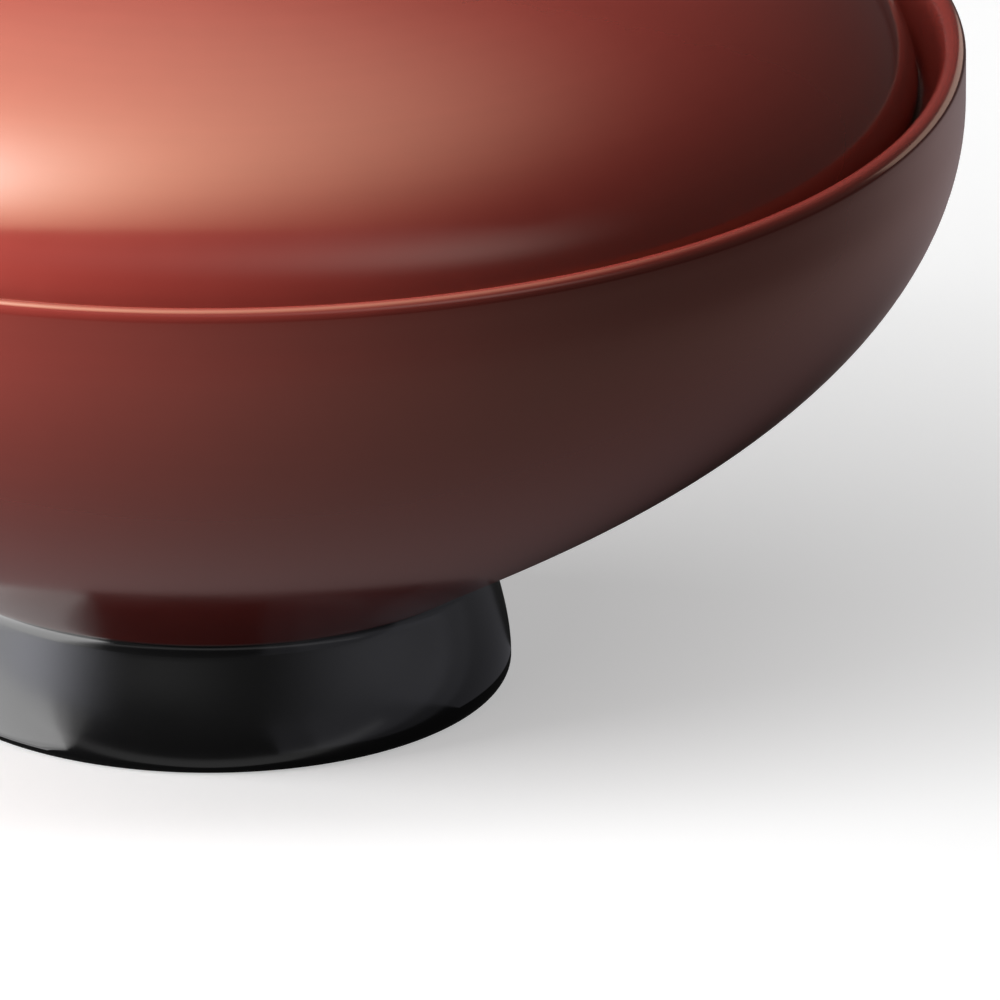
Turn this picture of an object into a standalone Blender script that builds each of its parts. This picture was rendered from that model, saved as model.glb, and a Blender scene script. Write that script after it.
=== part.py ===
"""A lidded lacquer soup bowl, turned from wood.

Four turned pieces share one upright axis: the bowl, the foot ring glued round a spigot under it, the lid
that sits down inside the bowl's rim, and the ring on top of the lid by which it is lifted off.

Metres, +Z up. The origin is the centre of the flat edge that the bowl stands on. Every outline is a list of
(radius, height) points that runs down the outer side of its piece.
"""

from math import acos, cos, degrees, radians, sin, tan, tau

import bmesh
import bpy
from mathutils import Matrix, Vector

# Facets round a full turn, and spans along a long sweep, a side, a round edge and a small round edge.
TURN_STEPS = 96
SWEEP_STEPS = 12
SIDE_STEPS = 6
ROUND_STEPS = 4
SMALL_ROUND_STEPS = 2
SHARP_ANGLE = radians(28)
MERGE_DISTANCE = 1e-6

# Gap kept between neighbouring pieces: a glue line.
GAP = 0.0003

# Bowl.
RIM_RADIUS = 0.0650
RIM_HEIGHT = 0.0578
LIP_RADIUS = 0.0010  # round of the rim's edge
SIDE_HEIGHT = 0.0528  # below this the upright side starts to curve in
SIDE_HANDLE = 0.0195  # how strongly the side holds its upright direction
UNDERSIDE_RADIUS = 0.02565  # where the underside meets the foot ring
UNDERSIDE_HEIGHT = 0.01196
UNDERSIDE_SLOPE = radians(32)
UNDERSIDE_HANDLE = 0.0151
SEAT_LEAN = radians(27.5)  # cone inside the rim that the lid rests in
SEAT_DEPTH = 0.0044
INNER_LEAN = radians(6)
INNER_HANDLE = 0.0180
FLOOR_HEIGHT = 0.0162
FLOOR_HANDLE = 0.0340

# Foot ring, and the spigot under the bowl that it is glued to.
SPIGOT_RADIUS = 0.0216
SPIGOT_DEPTH = 0.0026
FOOT_WIDEST = 0.02595
FOOT_EDGE = 0.0011  # round of the outer standing edge
FOOT_INNER_EDGE = 0.0006
FOOT_INNER_RADIUS = 0.0229
WAIST_RADIUS = 0.02415
WAIST_HEIGHT = 0.0102
WAIST_LEAN = radians(15)
FILLET = 0.0013

# Lid. Its heights are measured from the plane of its edge.
LID_EDGE_HEIGHT = 0.0539
LID_RADIUS = 0.0609
LID_RISE = 0.0208
LID_EDGE = 0.0008  # round of the lid's edge
LID_EDGE_THICKNESS = 0.0026
LID_TOP_THICKNESS = 0.0040

# Ring on the lid, and the groove that it is glued into.
GROOVE_INNER = 0.0149
GROOVE_OUTER = 0.0185
GROOVE_DEPTH = 0.0012
LID_RING_BASE = 0.0182
LID_RING_WAIST = 0.0174
LID_RING_INNER = 0.0152
LID_RING_WIDEST = 0.0190
LID_RING_HEIGHT = 0.0261
LID_RING_EDGE = 0.0008
LID_RING_LEAN = radians(11)

# Lacquer colours (linear), roughness, and the clear top layer.
RED_LACQUER = (0.20, 0.036, 0.028, 1.0)
BLACK_LACQUER = (0.003, 0.003, 0.0035, 1.0)
RED_ROUGHNESS = 0.22
BLACK_ROUGHNESS = 0.14
COAT_WEIGHT = 0.4
COAT_ROUGHNESS = 0.1


def arc(centre, radius, start, end, steps):
    """Points on a circle from the angle start to the angle end, in degrees."""
    angles = [radians(start + (end - start) * i / steps) for i in range(steps + 1)]
    return [(centre[0] + radius * cos(a), centre[1] + radius * sin(a)) for a in angles]


def bezier(p0, p1, p2, p3, steps):
    """Points on a cubic curve that leaves p0 towards p1 and reaches p3 from p2."""
    points = []
    for i in range(steps + 1):
        t = i / steps
        u = 1 - t
        weights = (u * u * u, 3 * u * u * t, 3 * u * t * t, t * t * t)
        corners = (p0, p1, p2, p3)
        points.append(tuple(sum(w * p[k] for w, p in zip(weights, corners)) for k in (0, 1)))
    return points


def dome_height(radius, edge_radius, rise):
    """Height of an elliptic dome above its edge, at this distance from the axis."""
    return rise * (1 - (radius / edge_radius) ** 2) ** 0.5


def dome(edge_radius, rise, inner, outer, steps):
    """Points down a dome from the radius inner to the radius outer, closer together where it turns down."""
    start = acos(min(1.0, inner / edge_radius))
    end = acos(min(1.0, outer / edge_radius))
    angles = [start + (end - start) * i / steps for i in range(steps + 1)]
    radii = [inner] + [edge_radius * cos(a) for a in angles[1:-1]] + [outer]
    return [(r, dome_height(min(r, edge_radius), edge_radius, rise)) for r in radii]


def material(name, colour, roughness):
    mat = bpy.data.materials.new(name)
    mat.use_nodes = True
    shader = mat.node_tree.nodes["Principled BSDF"]
    shader.inputs["Base Color"].default_value = colour
    shader.inputs["Roughness"].default_value = roughness
    shader.inputs["Metallic"].default_value = 0.0
    shader.inputs["Coat Weight"].default_value = COAT_WEIGHT
    shader.inputs["Coat Roughness"].default_value = COAT_ROUGHNESS
    mat.diffuse_color = colour
    return mat


def turned(name, outline, parent, colour, roughness):
    """Spins an outline about Z. An outline that starts and ends on the axis is open, any other is a ring."""
    shape = bmesh.new()
    points = [shape.verts.new((radius, 0.0, height)) for radius, height in outline]
    edges = [shape.edges.new(pair) for pair in zip(points, points[1:])]
    if outline[0][0] > 0:
        edges.append(shape.edges.new((points[-1], points[0])))
    bmesh.ops.spin(
        shape,
        geom=points + edges,
        cent=Vector(),
        axis=Vector((0, 0, 1)),
        angle=tau,
        steps=TURN_STEPS,
        use_merge=True,
    )
    bmesh.ops.remove_doubles(shape, verts=shape.verts, dist=MERGE_DISTANCE)
    bmesh.ops.recalc_face_normals(shape, faces=shape.faces)
    mesh = bpy.data.meshes.new(name)
    shape.to_mesh(mesh)
    shape.free()
    mesh.shade_smooth()
    mesh.set_sharp_from_angle(angle=SHARP_ANGLE)
    mesh.materials.append(material(name, colour, roughness))
    piece = bpy.data.objects.new(name, mesh)
    piece.parent = parent
    bpy.context.scene.collection.objects.link(piece)
    return piece


def axis_empty(name, height):
    """An empty on the shared axis, which a body's pieces hang from."""
    empty = bpy.data.objects.new(name, None)
    empty.matrix_world = Matrix.Translation((0, 0, height))
    bpy.context.scene.collection.objects.link(empty)
    return empty


def bowl_outline():
    lip_centre = (RIM_RADIUS - LIP_RADIUS, RIM_HEIGHT - LIP_RADIUS)
    lip = arc(lip_centre, LIP_RADIUS, 180 - degrees(SEAT_LEAN), 0, ROUND_STEPS + 1)
    seat_foot = (lip[0][0] - SEAT_DEPTH * tan(SEAT_LEAN), lip[0][1] - SEAT_DEPTH)
    inside = bezier(
        (0, FLOOR_HEIGHT),
        (FLOOR_HANDLE, FLOOR_HEIGHT),
        (seat_foot[0] - INNER_HANDLE * sin(INNER_LEAN), seat_foot[1] - INNER_HANDLE * cos(INNER_LEAN)),
        seat_foot,
        SWEEP_STEPS - 2,
    )
    side = bezier(
        (RIM_RADIUS, SIDE_HEIGHT),
        (RIM_RADIUS, SIDE_HEIGHT - SIDE_HANDLE),
        (
            UNDERSIDE_RADIUS + UNDERSIDE_HANDLE * cos(UNDERSIDE_SLOPE),
            UNDERSIDE_HEIGHT + UNDERSIDE_HANDLE * sin(UNDERSIDE_SLOPE),
        ),
        (UNDERSIDE_RADIUS, UNDERSIDE_HEIGHT),
        SWEEP_STEPS,
    )
    spigot_foot = UNDERSIDE_HEIGHT - SPIGOT_DEPTH
    spigot = [(SPIGOT_RADIUS, UNDERSIDE_HEIGHT), (SPIGOT_RADIUS, spigot_foot), (0, spigot_foot)]
    return inside + lip + side + spigot


def foot_ring_outline():
    top = UNDERSIDE_HEIGHT - GAP
    out = (cos(WAIST_LEAN), sin(WAIST_LEAN))  # faces out of the waist, square to the side
    fillet_centre = (WAIST_RADIUS + FILLET * out[0], WAIST_HEIGHT + FILLET * out[1])
    flare = degrees(acos((top - fillet_centre[1]) / FILLET))
    fillet = arc(fillet_centre, FILLET, 90 + flare, 180 + degrees(WAIST_LEAN), ROUND_STEPS)
    drop = (WAIST_HEIGHT - FOOT_EDGE) / 3
    side = bezier(
        fillet[-1],
        (WAIST_RADIUS + drop * tan(WAIST_LEAN), WAIST_HEIGHT - drop),
        (FOOT_WIDEST, FOOT_EDGE + drop),
        (FOOT_WIDEST, FOOT_EDGE),
        SIDE_STEPS,
    )
    edge = arc((FOOT_WIDEST - FOOT_EDGE, FOOT_EDGE), FOOT_EDGE, 0, -90, ROUND_STEPS)
    inner_centre = (FOOT_INNER_RADIUS + FOOT_INNER_EDGE, FOOT_INNER_EDGE)
    inner_edge = arc(inner_centre, FOOT_INNER_EDGE, -90, -180, SMALL_ROUND_STEPS)
    socket = [
        (SPIGOT_RADIUS + GAP, UNDERSIDE_HEIGHT - SPIGOT_DEPTH),
        (SPIGOT_RADIUS + GAP, top),
    ]
    return fillet + side[1:-1] + edge + inner_edge + socket


def lid_outline():
    groove_floor = dome_height(GROOVE_OUTER, LID_RADIUS, LID_RISE) - GROOVE_DEPTH
    crown = dome(LID_RADIUS, LID_RISE, 0, GROOVE_INNER, ROUND_STEPS - 1)
    groove = [(GROOVE_INNER, groove_floor), (GROOVE_OUTER, groove_floor)]
    flank = dome(LID_RADIUS, LID_RISE, GROOVE_OUTER, LID_RADIUS, SWEEP_STEPS)
    edge = arc((LID_RADIUS - LID_EDGE, 0), LID_EDGE, 0, -90, ROUND_STEPS)
    inner_edge_radius = LID_RADIUS - LID_EDGE_THICKNESS
    inner_edge = arc((inner_edge_radius + LID_EDGE, 0), LID_EDGE, -90, -180, ROUND_STEPS)
    hollow = dome(inner_edge_radius, LID_RISE - LID_TOP_THICKNESS, 0, inner_edge_radius, SWEEP_STEPS - 2)
    return crown + groove + flank[:-1] + edge + inner_edge + hollow[-2::-1]


def lid_ring_outline():
    base = dome_height(GROOVE_OUTER, LID_RADIUS, LID_RISE) - GROOVE_DEPTH + GAP
    skirt = dome_height(LID_RING_BASE, LID_RADIUS, LID_RISE)
    edge_height = LID_RING_HEIGHT - LID_RING_EDGE
    inner_centre = (LID_RING_INNER + LID_RING_EDGE, edge_height)
    inner_edge = arc(inner_centre, LID_RING_EDGE, 180, 90, SMALL_ROUND_STEPS)
    outer_edge = arc((LID_RING_WIDEST - LID_RING_EDGE, edge_height), LID_RING_EDGE, 90, 0, ROUND_STEPS)
    fillet_top = skirt + (LID_RING_BASE - LID_RING_WAIST)
    rise = (edge_height - fillet_top) / 3
    side = bezier(
        outer_edge[-1],
        (LID_RING_WIDEST, edge_height - rise),
        (LID_RING_WAIST + rise * tan(LID_RING_LEAN), fillet_top + rise),
        (LID_RING_WAIST, fillet_top),
        SIDE_STEPS,
    )
    fillet = arc((LID_RING_BASE, fillet_top), LID_RING_BASE - LID_RING_WAIST, 180, 270, ROUND_STEPS)
    tenon = [(LID_RING_BASE, base), (LID_RING_INNER, base)]
    return outer_edge + side[1:-1] + fillet + tenon + inner_edge


def build():
    for leftover in list(bpy.data.objects):
        bpy.data.objects.remove(leftover)
    bowl = axis_empty("bowl", 0.0)
    lid = axis_empty("lid", LID_EDGE_HEIGHT)
    turned("bowl_body", bowl_outline(), bowl, RED_LACQUER, RED_ROUGHNESS)
    turned("foot_ring", foot_ring_outline(), bowl, BLACK_LACQUER, BLACK_ROUGHNESS)
    turned("lid_shell", lid_outline(), lid, RED_LACQUER, RED_ROUGHNESS)
    turned("lid_ring", lid_ring_outline(), lid, BLACK_LACQUER, BLACK_ROUGHNESS)


build()
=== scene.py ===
"""Looks of the lidded lacquer bowl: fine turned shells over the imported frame, lacquer materials, floor,
soft studio light and the camera. Metres, +Z up. The camera stands on the -Y side, and its right is +X."""

from math import acos, cos, degrees, pi, radians, sin, tan, tau

import bmesh
import bpy
from mathutils import Matrix, Vector

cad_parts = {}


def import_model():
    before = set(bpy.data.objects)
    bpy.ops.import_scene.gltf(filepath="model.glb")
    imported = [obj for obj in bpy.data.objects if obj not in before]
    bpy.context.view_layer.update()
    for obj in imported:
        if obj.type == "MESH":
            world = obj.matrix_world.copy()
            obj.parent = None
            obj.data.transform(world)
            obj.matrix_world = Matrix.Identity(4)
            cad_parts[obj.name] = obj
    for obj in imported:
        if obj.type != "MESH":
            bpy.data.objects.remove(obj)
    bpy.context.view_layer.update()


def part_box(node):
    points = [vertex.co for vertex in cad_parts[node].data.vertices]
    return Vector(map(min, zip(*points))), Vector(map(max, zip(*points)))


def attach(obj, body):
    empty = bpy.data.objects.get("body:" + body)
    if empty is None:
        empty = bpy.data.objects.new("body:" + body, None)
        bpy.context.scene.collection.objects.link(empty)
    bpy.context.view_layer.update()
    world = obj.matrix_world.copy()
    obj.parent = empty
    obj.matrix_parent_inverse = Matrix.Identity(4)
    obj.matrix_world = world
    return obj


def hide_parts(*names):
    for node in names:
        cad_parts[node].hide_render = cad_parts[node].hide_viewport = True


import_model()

# Main sizes, from the frame.
BOWL_LOW, BOWL_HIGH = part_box("bowl_body")
FOOT_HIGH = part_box("foot_ring")[1]
LID_LOW, LID_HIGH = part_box("lid_shell")
KNOB_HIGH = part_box("lid_ring")[1]
RIM_RADIUS = BOWL_HIGH.x
RIM_HEIGHT = BOWL_HIGH.z

# Fine shape of the outlines.
TURN_STEPS = 256
ON_AXIS = 1e-6
SHARP_ANGLE = radians(40)
LIP_RADIUS = 0.0010
SEAT_LEAN = radians(27.5)
SEAT_DEPTH = 0.0044
SIDE_STRAIGHT = 0.0050
SIDE_HANDLE = 0.0195
UNDERSIDE_RADIUS = 0.02565
UNDERSIDE_SLOPE = radians(32)
UNDERSIDE_HANDLE = 0.0151
FLOOR_HEIGHT = 0.0162
FLOOR_HANDLE = 0.0340
INNER_LEAN = radians(6)
INNER_HANDLE = 0.0180
FOOT_EDGE = 0.0011
FOOT_INNER_EDGE = 0.0006
FOOT_INNER_RADIUS = 0.0229
SPIGOT_RADIUS = 0.0216
WAIST_RADIUS = 0.02415
WAIST_HEIGHT = 0.0102
WAIST_LEAN = radians(15)
FILLET = 0.0013
LID_EDGE = 0.0008
LID_EDGE_THICKNESS = 0.0026
LID_TOP_THICKNESS = 0.0040
KNOB_EDGE = 0.0008
KNOB_INNER = 0.0152
KNOB_BASE = 0.0182
KNOB_WAIST = 0.0174
KNOB_LEAN = radians(11)
GLUE_GAP = 0.0003
EMBED = 0.0004  # how far a glued ring reaches into its neighbour, past the glue gap

FOOT_TOP = FOOT_HIGH.z + EMBED
LID_EDGE_HEIGHT = LID_LOW.z + LID_EDGE
LID_RADIUS = LID_HIGH.x
LID_RISE = LID_HIGH.z - LID_EDGE_HEIGHT
UNDERSIDE_HEIGHT = FOOT_HIGH.z + GLUE_GAP

# Lacquer: noises per metre, how far the turning rings slant with the height, the orange peel's depth.
CLOUD_SCALE = 28
RING_SCALE = 420
RING_SLANT = 1.7
GRAIN_SCALE = 260
PEEL_SCALE = 900
PEEL = 2e-6

# Camera.
LENS = 1090.1
PITCH = radians(21.56)
AIM = Vector((0.02497, 0, 0.01528))
CAMERA_DISTANCE = 2.6156

# Light. Overhead softboxes hang OVERHEAD above the rim, and panels stand PANEL_DISTANCE from its centre.
CENTRE = Vector((0, 0, RIM_HEIGHT))
ORIGIN = Vector((0, 0, 0))
X_AXIS, Y_AXIS, Z_AXIS = Vector((1, 0, 0)), Vector((0, 1, 0)), Vector((0, 0, 1))
OVERHEAD = 1.2
PANEL_DISTANCE = 1.5
CARD_SIZE = 0.5
CARD_START = 0.002  # how far along its edge a card starts
CARD_STEP = 0.0002  # each card lies this much over the last
MIRRORED_WORLD = 0.078  # the world's strength in reflections and on surfaces; the camera sees 1
FLOOR_SIZE = 8.0
FLOOR_GREY = 0.8
FLOOR_GLOW = 0.43
TABLE_DROP = 0.0002  # how far the table top lies below the floor
TABLE_GREY = 0.012
TABLE_GLOW = 0.015


def arc(centre, radius, start, end, steps):
    """Points on a circle from the angle start to the angle end, in degrees."""
    angles = [radians(start + (end - start) * i / steps) for i in range(steps + 1)]
    return [(centre[0] + radius * cos(a), centre[1] + radius * sin(a)) for a in angles]


def bezier(start, leave, reach, end, steps):
    """Points on a cubic curve that leaves start towards leave and reaches end from reach."""
    controls = (start, leave, reach, end)
    points = []
    for i in range(steps + 1):
        t = i / steps
        u = 1 - t
        weights = (u * u * u, 3 * u * u * t, 3 * u * t * t, t * t * t)
        points.append(tuple(sum(w * p[k] for w, p in zip(weights, controls)) for k in (0, 1)))
    return points


def line(start, end, steps):
    """Points along a straight line, with both of its ends."""
    return [tuple(a + (b - a) * i / steps for a, b in zip(start, end)) for i in range(steps + 1)]


def dome(edge_radius, rise, base, inner, outer, steps):
    """Points down an elliptic dome from the radius inner to the radius outer."""
    start, end = (acos(min(1.0, r / edge_radius)) for r in (inner, outer))
    angles = [start + (end - start) * i / steps for i in range(steps + 1)]
    return [(edge_radius * cos(a), base + rise * sin(a)) for a in angles]


def dome_height(radius):
    """The height of the lid's outer face at a radius."""
    return LID_EDGE_HEIGHT + LID_RISE * (1 - (radius / LID_RADIUS) ** 2) ** 0.5


def bowl_outline():
    """The inside from the axis to the seat, the lip, the outer side, and the spigot inside the foot."""
    lip_centre = (RIM_RADIUS - LIP_RADIUS, RIM_HEIGHT - LIP_RADIUS)
    lip = arc(lip_centre, LIP_RADIUS, 180 - degrees(SEAT_LEAN), 0, steps=16)
    seat_foot = (lip[0][0] - SEAT_DEPTH * tan(SEAT_LEAN), lip[0][1] - SEAT_DEPTH)
    inward = (sin(INNER_LEAN), cos(INNER_LEAN))
    inner_handle = tuple(p - INNER_HANDLE * d for p, d in zip(seat_foot, inward))
    floor_handle = (FLOOR_HANDLE, FLOOR_HEIGHT)
    inside = bezier((0, FLOOR_HEIGHT), floor_handle, inner_handle, seat_foot, steps=48)
    seat = line(seat_foot, lip[0], steps=5)
    side_top = (RIM_RADIUS, RIM_HEIGHT - SIDE_STRAIGHT)
    upright = line(lip[-1], side_top, steps=4)
    underside = (UNDERSIDE_RADIUS, UNDERSIDE_HEIGHT)
    slope = (cos(UNDERSIDE_SLOPE), sin(UNDERSIDE_SLOPE))
    foot_handle = tuple(p + UNDERSIDE_HANDLE * d for p, d in zip(underside, slope))
    top_handle = (RIM_RADIUS, side_top[1] - SIDE_HANDLE)
    side = bezier(side_top, top_handle, foot_handle, underside, steps=64)
    spigot = [(SPIGOT_RADIUS, UNDERSIDE_HEIGHT)]
    spigot += line((SPIGOT_RADIUS, BOWL_LOW.z), (0, BOWL_LOW.z), steps=8)
    return inside + seat[1:-1] + lip + upright[1:-1] + side + spigot


def foot_outline():
    """The foot ring's section, from the fillet under the bowl down its outer side and up its inner one."""
    out = (cos(WAIST_LEAN), sin(WAIST_LEAN))
    fillet_centre = (WAIST_RADIUS + FILLET * out[0], WAIST_HEIGHT + FILLET * out[1])
    flare = degrees(acos((FOOT_HIGH.z - fillet_centre[1]) / FILLET))
    fillet = arc(fillet_centre, FILLET, 90 + flare, 180 + degrees(WAIST_LEAN), steps=12)
    drop = (WAIST_HEIGHT - FOOT_EDGE) / 3
    widest = FOOT_HIGH.x
    upper_handle = (WAIST_RADIUS + drop * tan(WAIST_LEAN), WAIST_HEIGHT - drop)
    lower_handle = (widest, FOOT_EDGE + drop)
    side = bezier(fillet[-1], upper_handle, lower_handle, (widest, FOOT_EDGE), steps=24)
    edge = arc((widest - FOOT_EDGE, FOOT_EDGE), FOOT_EDGE, 0, -90, steps=10)
    inner_centre = (FOOT_INNER_RADIUS + FOOT_INNER_EDGE, FOOT_INNER_EDGE)
    inner_edge = arc(inner_centre, FOOT_INNER_EDGE, -90, -180, steps=6)
    inner = line(inner_edge[-1], (SPIGOT_RADIUS - EMBED, BOWL_LOW.z), steps=6)
    top = [(SPIGOT_RADIUS - EMBED, FOOT_TOP), (fillet[0][0], FOOT_TOP)]
    return fillet + side[1:-1] + edge + inner_edge + inner[1:] + top


def lid_outline():
    """The dome from the axis to the edge, the rounded edge, and the hollow back to the axis."""
    crown = dome(LID_RADIUS, LID_RISE, LID_EDGE_HEIGHT, 0, LID_RADIUS, steps=72)
    edge = arc((LID_RADIUS - LID_EDGE, LID_EDGE_HEIGHT), LID_EDGE, 0, -90, steps=8)
    inner_radius = LID_RADIUS - LID_EDGE_THICKNESS
    inner_edge = arc((inner_radius + LID_EDGE, LID_EDGE_HEIGHT), LID_EDGE, -90, -180, steps=8)
    inner_rise = LID_RISE - LID_TOP_THICKNESS
    hollow = dome(inner_radius, inner_rise, LID_EDGE_HEIGHT, 0, inner_radius, steps=56)
    return crown[:-1] + edge + inner_edge + hollow[-2::-1]


def knob_outline():
    """The section of the lid's ring: rounded top edges, a leaning outer side and a fillet at its base."""
    skirt = dome_height(KNOB_BASE)
    edge_height = KNOB_HIGH.z - KNOB_EDGE
    inner_edge = arc((KNOB_INNER + KNOB_EDGE, edge_height), KNOB_EDGE, 180, 90, steps=8)
    widest = KNOB_HIGH.x
    outer_edge = arc((widest - KNOB_EDGE, edge_height), KNOB_EDGE, 90, 0, steps=10)
    fillet_top = skirt + (KNOB_BASE - KNOB_WAIST)
    rise = (edge_height - fillet_top) / 3
    lower_handle = (KNOB_WAIST + rise * tan(KNOB_LEAN), fillet_top + rise)
    upper_handle = (widest, edge_height - rise)
    side = bezier(outer_edge[-1], upper_handle, lower_handle, (KNOB_WAIST, fillet_top), steps=20)
    fillet = arc((KNOB_BASE, fillet_top), KNOB_BASE - KNOB_WAIST, 180, 270, steps=10)
    tenon = [(KNOB_BASE, skirt - EMBED), (KNOB_INNER, dome_height(KNOB_INNER) - EMBED)]
    return outer_edge + side[1:-1] + fillet + tenon + inner_edge[:-1]


def turned(name, outline, mat, body, node):
    """Turns an outline about Z into a smooth closed shell that stands for a CAD node. The outline runs from
    the axis back to the axis, or round a ring's section."""
    ring = outline[0][0] > ON_AXIS
    verts, rows = [], []
    for radius, height in outline:
        if radius < ON_AXIS:
            rows.append([len(verts)] * TURN_STEPS)
            verts.append((0.0, 0.0, height))
            continue
        rows.append(list(range(len(verts), len(verts) + TURN_STEPS)))
        angles = (tau * k / TURN_STEPS for k in range(TURN_STEPS))
        verts += [(radius * cos(a), radius * sin(a), height) for a in angles]
    pairs = list(zip(rows, rows[1:])) + ([(rows[-1], rows[0])] if ring else [])
    faces = []
    for low, high in pairs:
        for k in range(TURN_STEPS):
            after = (k + 1) % TURN_STEPS
            corners = (low[k], low[after], high[after], high[k])
            faces.append(tuple(dict.fromkeys(corners)))
    mesh = bpy.data.meshes.new(name)
    mesh.from_pydata(verts, [], faces)
    shape = bmesh.new()
    shape.from_mesh(mesh)
    bmesh.ops.recalc_face_normals(shape, faces=shape.faces)
    shape.to_mesh(mesh)
    shape.free()
    mesh.shade_smooth()
    mesh.set_sharp_from_angle(angle=SHARP_ANGLE)
    mesh.materials.append(mat)
    piece = bpy.data.objects.new(name, mesh)
    bpy.context.scene.collection.objects.link(piece)
    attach(piece, body)
    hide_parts(node)
    return piece


def new_material(name):
    """A node material, with its shader."""
    mat = bpy.data.materials.new(name)
    mat.use_nodes = True
    return mat, mat.node_tree.nodes["Principled BSDF"]


def add(tree, kind, **inputs):
    """A node of a kind, with values or links for its named inputs."""
    node = tree.nodes.new(kind)
    for name, value in inputs.items():
        connect(tree, value, node.inputs[name.replace("_", " ")])
    return node


def connect(tree, value, socket):
    """Gives a socket a value, or a link when the value is another socket."""
    if isinstance(value, bpy.types.NodeSocket):
        tree.links.new(value, socket)
    else:
        socket.default_value = value


def math_node(tree, operation, *values):
    """The result of a math node on values or links."""
    node = tree.nodes.new("ShaderNodeMath")
    node.operation = operation
    for socket, value in zip(node.inputs, values):
        connect(tree, value, socket)
    return node.outputs[0]


def times(tree, a, b):
    return math_node(tree, "MULTIPLY", a, b)


def plus(tree, a, b):
    return math_node(tree, "ADD", a, b)


def weighted(tree, *pairs):
    """The sum of values, each times its weight."""
    total = None
    for value, weight in pairs:
        term = times(tree, value, weight)
        total = term if total is None else plus(tree, total, term)
    return total


def spread_of(tree, value, low, high):
    """Maps a noise value, which stays near 0.5, to the range low to high."""
    node = add(tree, "ShaderNodeMapRange", Value=value)
    for socket, limit in zip(("From Min", "From Max", "To Min", "To Max"), (0.3, 0.7, low, high)):
        node.inputs[socket].default_value = limit
    return node.outputs["Result"]


def noise(tree, vector, scale, detail, dimensions="3D"):
    """A noise of a scale per metre. In one dimension, vector is a single value."""
    node = tree.nodes.new("ShaderNodeTexNoise")
    node.noise_dimensions = dimensions
    connect(tree, vector, node.inputs["W" if dimensions == "1D" else "Vector"])
    node.inputs["Scale"].default_value = scale
    node.inputs["Detail"].default_value = detail
    return node.outputs["Fac"]


def lacquer(name, dark, light, roughness, tint, mottle):
    """Brushed lacquer over turned wood: clouded colour, turning rings, uneven gloss, a fine orange peel."""
    mat, shader = new_material(name)
    tree = mat.node_tree
    place = tree.nodes.new("ShaderNodeTexCoord").outputs["Object"]
    x, y, z = add(tree, "ShaderNodeSeparateXYZ", Vector=place).outputs
    radius = math_node(tree, "SQRT", plus(tree, times(tree, x, x), times(tree, y, y)))
    section = math_node(tree, "SUBTRACT", radius, times(tree, z, RING_SLANT))
    clouds = noise(tree, place, CLOUD_SCALE, 5)
    rings = noise(tree, section, RING_SCALE, 3, "1D")
    grain = noise(tree, place, GRAIN_SCALE, 6)
    blend = weighted(tree, (clouds, 0.6), (rings, 0.15), (grain, 0.25))
    colour = tree.nodes.new("ShaderNodeMix")
    colour.data_type = "RGBA"
    tree.links.new(spread_of(tree, blend, 0, 1), colour.inputs["Factor"])
    colour.inputs["A"].default_value = (*dark, 1)
    colour.inputs["B"].default_value = (*light, 1)
    tree.links.new(colour.outputs["Result"], shader.inputs["Base Color"])
    gloss = weighted(tree, (clouds, 0.5), (grain, 0.5))
    uneven = spread_of(tree, gloss, roughness - mottle, roughness + mottle)
    tree.links.new(uneven, shader.inputs["Roughness"])
    height = plus(tree, noise(tree, place, PEEL_SCALE, 2), times(tree, rings, 0.8))
    bump = add(tree, "ShaderNodeBump", Height=height, Strength=1.0, Distance=PEEL)
    tree.links.new(bump.outputs["Normal"], shader.inputs["Normal"])
    shader.inputs["Specular IOR Level"].default_value = 1.0
    shader.inputs["Specular Tint"].default_value = (*tint, 1)
    return mat


def red_lacquer():
    dark, light = (0.108, 0.0130, 0.0100), (0.123, 0.0155, 0.0120)
    return lacquer("red_lacquer", dark, light, 0.15, tint=(1, 0.85, 0.68), mottle=0.02)


def black_lacquer():
    dark, light = (0.0024, 0.0024, 0.0028), (0.0036, 0.0036, 0.0041)
    return lacquer("black_lacquer", dark, light, 0.2, tint=(1, 1, 1), mottle=0.03)


RED = red_lacquer()
BLACK = black_lacquer()
BOWL = turned("bowl", bowl_outline(), RED, "bowl", "bowl_body")
FOOT = turned("foot", foot_outline(), BLACK, "bowl", "foot_ring")
LID = turned("lid", lid_outline(), RED, "lid", "lid_shell")
KNOB = turned("lid_handle_ring", knob_outline(), BLACK, "lid", "lid_ring")


def floor_plane(name, height, grey, strength):
    """A wide matte floor that gives off a little light of its own."""
    mesh = bpy.data.meshes.new(name)
    half = FLOOR_SIZE / 2
    corners = [(-half, -half, height), (half, -half, height), (half, half, height), (-half, half, height)]
    mesh.from_pydata(corners, [], [(0, 1, 2, 3)])
    plane = bpy.data.objects.new(name, mesh)
    bpy.context.scene.collection.objects.link(plane)
    mat, shader = new_material(name)
    shader.inputs["Base Color"].default_value = (grey, grey, grey, 1)
    shader.inputs["Roughness"].default_value = 1.0
    shader.inputs["Specular IOR Level"].default_value = 0.0
    shader.inputs["Emission Color"].default_value = (1, 1, 1, 1)
    shader.inputs["Emission Strength"].default_value = strength
    mesh.materials.append(mat)
    return plane


def pale_floor():
    """The floor that the camera sees. Reflections don't see it."""
    plane = floor_plane("floor", 0.0, FLOOR_GREY, FLOOR_GLOW)
    plane.visible_diffuse = False
    plane.visible_glossy = False
    plane.visible_transmission = False
    plane.visible_shadow = False
    return plane


def table_top():
    """The darker table that the bowl's underside and foot mirror, just below the floor."""
    plane = floor_plane("table_top", -TABLE_DROP, TABLE_GREY, TABLE_GLOW)
    plane.visible_camera = False
    return plane


FLOOR = pale_floor()
TABLE_TOP = table_top()


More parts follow.
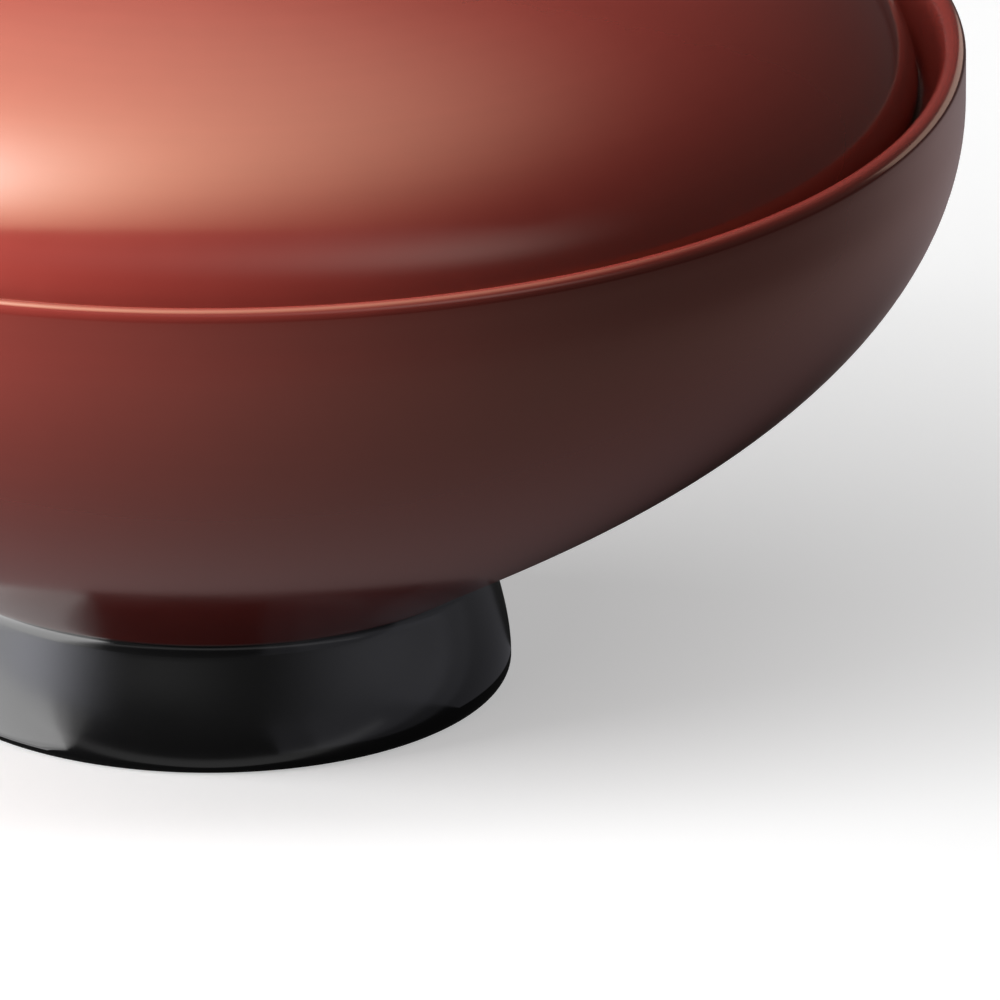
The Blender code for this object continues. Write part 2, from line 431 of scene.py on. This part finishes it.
def lit(name, *objects):
    """A collection of what a light falls on."""
    group = bpy.data.collections.new(name)
    for obj in objects:
        group.objects.link(obj)
    return group


BODY = lit("lit_by_bowl_lights", BOWL, LID, KNOB, TABLE_TOP)
UNDER = lit("lit_by_under_card", BOWL)
FOOT_ONLY = lit("lit_by_foot_lights", FOOT)
FLOOR_ONLY = lit("lit_by_floor_lights", FLOOR)


def softbox(name, location, across, up, width, height, strength, group):
    """A rectangular light without a visible body, which faces along up x across. Strength is in watts per
    square metre of it."""
    light = bpy.data.lights.new(name, "AREA")
    light.shape = "RECTANGLE"
    light.size = width
    light.size_y = height
    light.energy = strength * width * height
    box = bpy.data.objects.new(name, light)
    bpy.context.scene.collection.objects.link(box)
    turn = Matrix((across, up, across.cross(up))).transposed().to_4x4()
    box.matrix_world = Matrix.Translation(location) @ turn
    box.visible_camera = False
    box.light_linking.receiver_collection = group
    return box


def overhead(name, x, y, width, height, strength, group, drop=0):
    """A softbox that lies flat over the bowl and shines down."""
    location = CENTRE + Vector((x, y, OVERHEAD - drop))
    return softbox(name, location, X_AXIS, Y_AXIS, width, height, strength, group)


def panel(name, azimuth, elevation, width, height, strength, group):
    """A softbox aimed at the bowl. Azimuth 0 is the camera's side, and + turns to the camera's right."""
    a, e = radians(azimuth), radians(elevation)
    direction = Vector((sin(a) * cos(e), -cos(a) * cos(e), sin(e)))
    location = CENTRE + direction * PANEL_DISTANCE
    across = Vector((cos(a), sin(a), 0))
    up = direction.cross(across)
    return softbox(name, location, across, up, width, height, strength, group)


def glow(box, centre, glows):
    """Makes a softbox bright in round patches that fade out. Each is (place across, place up, spread
    across, spread up, strength), in metres from the centre. A negative one takes light away again."""
    box.data.energy = box.data.size * box.data.size_y
    box.data.use_nodes = True
    tree = box.data.node_tree
    axes = box.matrix_world.to_3x3().transposed()
    offset = tree.nodes.new("ShaderNodeVectorMath")
    offset.operation = "SUBTRACT"
    tree.links.new(tree.nodes.new("ShaderNodeNewGeometry").outputs["Position"], offset.inputs[0])
    offset.inputs[1].default_value = centre
    places = []
    for axis in axes[:2]:
        along = tree.nodes.new("ShaderNodeVectorMath")
        along.operation = "DOT_PRODUCT"
        tree.links.new(offset.outputs[0], along.inputs[0])
        along.inputs[1].default_value = axis
        places.append(along.outputs["Value"])
    total = None
    for across, up, wide, high, strength in glows:
        terms = []
        for value, middle, spread in zip(places, (across, up), (wide, high)):
            off = times(tree, math_node(tree, "SUBTRACT", value, middle), 0.5 ** 0.5 / spread)
            terms.append(times(tree, off, off))
        power = times(tree, plus(tree, *terms), -1.0)
        patch = times(tree, math_node(tree, "EXPONENT", power), strength)
        total = patch if total is None else plus(tree, total, patch)
    tree.links.new(total, tree.nodes["Emission"].inputs["Strength"])


def lid_lights():
    """Softboxes overhead and in front for the shine on the lid, and a large upright one on the left for
    its streak."""
    top = overhead("top_softbox", -0.3, 0.7665, 2.52, 2.067, 1, BODY)
    shine = (-0.53, 0.2, 0.33, 0.3, 21)
    far = (-0.5, 0.95, 0.4, 0.4, 6)
    right = (0.14, 0.45, 0.26, 0.4, 3.8)
    glow(top, CENTRE, [shine, far, right])
    top.data.color = (1, 0.84, 0.66)
    core = overhead("top_core_softbox", -0.6, 0.3, 1, 1.1, 1, BODY, drop=0.01)
    glow(core, CENTRE, [(-0.64, 0.27, 0.18, 0.16, 23)])
    core.data.color = (0.5, 1, 1.5)
    front = overhead("front_softbox", 0.3, -0.7, 3.4, 1.2, 1, BODY)
    glow(front, CENTRE, [(0.75, -0.68, 0.45, 0.24, 2.3), (-0.2, -0.68, 0.5, 0.2, 0.5)])
    front.data.color = (1, 0.97, 1.1)
    upright = softbox("left_softbox", Vector((-1.2, 0.2, 0.6)), Z_AXIS, Y_AXIS, 1.2, 2.4, 1, BODY)
    glow(upright, ORIGIN, [(0.58, 0.05, 0.36, 0.7, 148), (0.7, 0.55, 0.3, 0.35, 55)])


def under_lights():
    """What the bowl's underside mirrors: a wide card on the table, shaded in the middle, and a panel behind
    the bowl on the right."""
    under = softbox("under_card", Vector((0, -0.02, 0.0006)), Y_AXIS, X_AXIS, 0.8, 0.8, 1, UNDER)
    front = [(-0.12, -0.05, 0.14, 0.16, 1.08)]
    shade = [(0.015, 0.025, 0.05, 0.05, -0.52), (0.03, 0.07, 0.03, 0.03, -0.35)]
    right = [(0.1, 0.15, 0.06, 0.06, 0.9), (0.0, 0.12, 0.05, 0.04, 0.33)]
    glow(under, ORIGIN, front + shade + right)
    under.data.color = (1.15, 0.86, 0.88)
    behind = panel("right_back_softbox", 140, 6, 1.2, 0.6, 3, UNDER)
    behind.data.color = (1, 0.75, 0.65)


def card(name, start, height, azimuth, side, strength):
    """A card that lies just over the table. One edge runs from start along the azimuth. Side is 1 or -1, to
    the right or to the left of that edge as the camera sees it."""
    a = radians(azimuth)
    along = Vector((sin(a), -cos(a), 0))
    back = Vector((-along.y, along.x, 0)) * side
    middle = Vector((*start, height)) + along * (CARD_START + CARD_SIZE / 2) + back * CARD_SIZE / 2
    across, up = (back, along) if side > 0 else (along, back)
    return softbox(name, middle, across, up, CARD_SIZE, CARD_SIZE, strength, FOOT_ONLY)


def foot_lights():
    """What the foot mirrors: bright cards and softboxes on the left, and dim bluish ones on the right."""
    start = (-0.0113, -0.0226)
    for number, (azimuth, strength) in enumerate(((-63, 5), (-55, 2.6), (-46, 1.4))):
        height = 0.0008 + CARD_STEP * number
        card(f"left_card_{number}", start, height, azimuth, -1, strength)
    left = panel("foot_left_softbox", -80, 5, 3, 0.6, 1, FOOT_ONLY)
    glow(left, left.location, [(0, 0, 0.52, 0.35, 8)])
    left.data.color = (0.96, 0.97, 1.08)
    high = panel("foot_front_softbox", -25, 17, 3, 0.6, 1, FOOT_ONLY)
    glow(high, high.location, [(0, 0, 0.5, 0.2, 1.1)])
    edge = Vector((-0.004, -0.0278, 0.0004))
    softbox("foot_edge_card", edge, Y_AXIS, X_AXIS, 0.003, 0.07, 0.8, FOOT_ONLY)
    right = panel("foot_right_softbox", 75, 8, 4, 0.7, 1, FOOT_ONLY)
    glow(right, right.location, [(0, 0, 0.75, 0.3, 1.0)])
    dim = [right]
    starts = ((0.006, -0.0245), (0.009, -0.0235), (0.017, -0.012))
    for number, (start, azimuth, strength) in enumerate(zip(starts, (20, 35, 60), (0.35, 0.2, 0.3))):
        height = 0.0014 + CARD_STEP * number
        dim.append(card(f"right_card_{number}", start, height, azimuth, 1, strength))
    for box in dim:
        box.data.color = (0.94, 0.94, 1.06)


def floor_lights():
    """A softbox from the left, a low one that draws the shadow out to the right, and one over the front."""
    panel("floor_softbox", -48, 34, 1.3, 0.58, 9, FLOOR_ONLY)
    panel("floor_low_softbox", -82, 12, 1.1, 0.58, 42, FLOOR_ONLY)
    overhead("floor_front_softbox", 0, -0.66, 1.92, 0.36, 16, FLOOR_ONLY)


lid_lights()
under_lights()
foot_lights()
floor_lights()


def world():
    """A white world that the camera sees at full strength and everything else sees dimly."""
    studio = bpy.data.worlds.new("studio")
    bpy.context.scene.world = studio
    studio.use_nodes = True
    tree = studio.node_tree
    background = tree.nodes["Background"]
    background.inputs["Color"].default_value = (1, 1, 1, 1)
    path = tree.nodes.new("ShaderNodeLightPath")
    strength = tree.nodes.new("ShaderNodeMapRange")
    tree.links.new(path.outputs["Is Camera Ray"], strength.inputs["Value"])
    strength.inputs["To Min"].default_value = MIRRORED_WORLD
    strength.inputs["To Max"].default_value = 1.0
    tree.links.new(strength.outputs["Result"], background.inputs["Strength"])


def camera():
    """A long lens from the front, looking down at the bowl's right side."""
    data = bpy.data.cameras.new("camera")
    data.lens = LENS
    data.clip_end = 100
    obj = bpy.data.objects.new("camera", data)
    bpy.context.scene.collection.objects.link(obj)
    obj.location = AIM + CAMERA_DISTANCE * Vector((0, -cos(PITCH), sin(PITCH)))
    obj.rotation_euler = (pi / 2 - PITCH, 0, 0)
    bpy.context.scene.camera = obj


world()
camera()
bpy.context.scene.view_settings.view_transform = "Standard"
